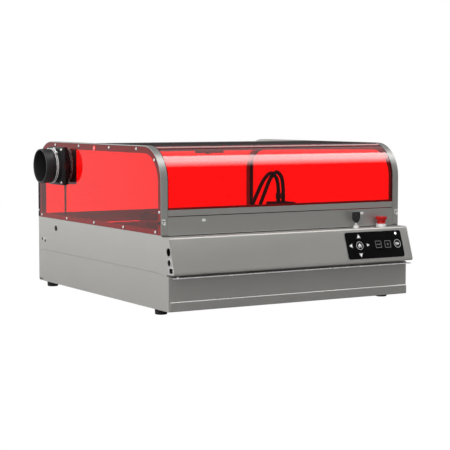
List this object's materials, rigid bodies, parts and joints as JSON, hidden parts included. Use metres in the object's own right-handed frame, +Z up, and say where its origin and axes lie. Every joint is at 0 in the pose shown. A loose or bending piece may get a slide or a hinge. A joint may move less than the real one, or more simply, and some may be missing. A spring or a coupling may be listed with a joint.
{
  "type": "desktop laser cutter",
  "caption": "Enclosed desktop laser cutter with a sloping control console, red acrylic windows, hinged front lid, gantry laser, pull-out tray and side exhaust.",
  "frame": {"origin": "bottom centre of the whole machine's bounding box, on the table under the feet", "axes": "+X to the operator's right, +Y from the front to the back, +Z up"},
  "size_m": [0.612, 0.6468, 0.3285],
  "materials": {
    "paint_light": "fine satin powder coat, warm light grey",
    "paint_dark": "fine satin powder coat, mid warm grey",
    "acrylic_red": "clear red acrylic, polished",
    "black_plastic": "moulded black plastic",
    "overlay_black": "printed black membrane overlay",
    "black_anodised": "black anodised aluminium",
    "rubber": "black rubber",
    "steel": "bright steel",
    "aluminium": "satin anodised aluminium",
    "red_plastic": "glossy moulded red plastic",
    "board_green": "green solder-mask circuit board"
  },
  "bodies": {
    "housing": {"side_panel_left": "paint_light", "side_panel_right": "paint_light", "lower_side_left": "paint_light", "lower_side_right": "paint_light", "front_lower_panel": "paint_dark", "console_cover": "paint_light", "front_upper_plate": "paint_dark", "rear_panel": "paint_light", "foot_front_left": "rubber", "foot_front_right": "rubber", "foot_rear_left": "rubber", "foot_rear_right": "rubber", "arch_left": "paint_dark", "arch_right": "paint_dark", "side_window_left": "acrylic_red", "side_window_right": "acrylic_red", "rear_window": "acrylic_red", "mid_crossbar": "paint_dark", "camera_module": "paint_dark", "hinge_rod": "steel", "exhaust_duct": "black_plastic", "hose_clamp": "steel", "fan_frame": "black_plastic", "fan_cable": "rubber", "y_rail_left": "aluminium", "y_rail_right": "aluminium", "y_belt_left": "rubber", "y_belt_right": "rubber", "y_motor": "black_plastic", "control_overlay": "overlay_black", "main_board": "board_green", "side_ports": "paint_light", "estop_collar": "steel", "key_switch_barrel": "steel"},
    "lid": {"lid_window": "acrylic_red", "lid_bottom_rail": "paint_dark", "lid_top_rail": "paint_dark"},
    "gantry": {"gantry_beam": "aluminium", "gantry_truck_left": "aluminium", "gantry_truck_right": "aluminium", "x_motor": "black_plastic"},
    "carriage": {"carriage_plate": "black_plastic", "hose_air": "rubber", "hose_power": "rubber"},
    "laser_head": {"laser_module": "black_anodised"},
    "drive_shaft": {"y_drive_shaft": "steel"},
    "fan": {"fan_rotor": "black_plastic"},
    "drawer": {"drawer_tray": "paint_dark", "work_bed": "aluminium"},
    "estop_button": {"estop_head": "red_plastic"},
    "lock_plug": {"lock_core": "steel"},
    "key": {"safety_key": "black_plastic"},
    "pad_up_key": {"pad_up": "overlay_black"},
    "pad_left_key": {"pad_left": "overlay_black"},
    "pad_home_key": {"pad_home": "overlay_black"},
    "pad_right_key": {"pad_right": "overlay_black"},
    "pad_down_key": {"pad_down": "overlay_black"},
    "pad_start_key": {"pad_start": "overlay_black"},
    "pad_frame_key": {"pad_frame": "overlay_black"},
    "pad_laser_key": {"pad_laser": "overlay_black"}
  },
  "joints": [
    {"name": "lid_hinge", "type": "hinge", "parent": "housing", "child": "lid", "pos_m": [0.0215, 0.02565, 0.3185], "axis": [-1, 0, 0], "range_deg": [0, 82]},
    {"name": "gantry_slide", "type": "slide", "parent": "housing", "child": "gantry", "axis": [0, 1, 0], "range_m": [-0.07, 0.34]},
    {"name": "carriage_slide", "type": "slide", "parent": "gantry", "child": "carriage", "axis": [1, 0, 0], "range_m": [-0.235, 0.09]},
    {"name": "focus_slide", "type": "slide", "parent": "carriage", "child": "laser_head", "axis": [0, 0, 1], "range_m": [-0.025, 0.01], "deforming": ["hose_air", "hose_power"]},
    {"name": "drive_shaft_spin", "type": "hinge", "parent": "housing", "child": "drive_shaft", "pos_m": [0.0215, 0.29275, 0.138], "axis": [1, 0, 0], "continuous": true},
    {"name": "fan_spin", "type": "hinge", "parent": "housing", "child": "fan", "pos_m": [-0.2485, 0.21345, 0.2759], "axis": [1, 0, 0], "continuous": true},
    {"name": "drawer_slide", "type": "slide", "parent": "housing", "child": "drawer", "axis": [0, -1, 0], "range_m": [0, 0.42]},
    {"name": "estop_push", "type": "slide", "parent": "housing", "child": "estop_button", "axis": [0, 0, -1], "range_m": [0, 0.004]},
    {"name": "key_turn", "type": "hinge", "parent": "housing", "child": "lock_plug", "pos_m": [0.1865, -0.28425, 0.15], "axis": [0, 0, -1], "range_deg": [0, 90]},
    {"name": "key_pull", "type": "slide", "parent": "lock_plug", "child": "key", "axis": [0, 0, 1], "range_m": [0, 0.02]},
    {"name": "pad_up_press", "type": "slide", "parent": "housing", "child": "pad_up_key", "axis": [0, 0.9458, -0.3247], "range_m": [0, 0.0006], "stiffness_N_per_m": 300},
    {"name": "pad_left_press", "type": "slide", "parent": "housing", "child": "pad_left_key", "axis": [0, 0.9458, -0.3247], "range_m": [0, 0.0006], "stiffness_N_per_m": 300},
    {"name": "pad_home_press", "type": "slide", "parent": "housing", "child": "pad_home_key", "axis": [0, 0.9458, -0.3247], "range_m": [0, 0.0006], "stiffness_N_per_m": 300},
    {"name": "pad_right_press", "type": "slide", "parent": "housing", "child": "pad_right_key", "axis": [0, 0.9458, -0.3247], "range_m": [0, 0.0006], "stiffness_N_per_m": 300},
    {"name": "pad_down_press", "type": "slide", "parent": "housing", "child": "pad_down_key", "axis": [0, 0.9458, -0.3247], "range_m": [0, 0.0006], "stiffness_N_per_m": 300},
    {"name": "pad_start_press", "type": "slide", "parent": "housing", "child": "pad_start_key", "axis": [0, 0.9458, -0.3247], "range_m": [0, 0.0006], "stiffness_N_per_m": 300},
    {"name": "pad_frame_press", "type": "slide", "parent": "housing", "child": "pad_frame_key", "axis": [0, 0.9458, -0.3247], "range_m": [0, 0.0006], "stiffness_N_per_m": 300},
    {"name": "pad_laser_press", "type": "slide", "parent": "housing", "child": "pad_laser_key", "axis": [0, 0.9458, -0.3247], "range_m": [0, 0.0006], "stiffness_N_per_m": 300}
  ],
  "couplings": [
    {"joint": "drive_shaft_spin", "follows": "gantry_slide", "rad_per_m": -141.8}
  ]
}
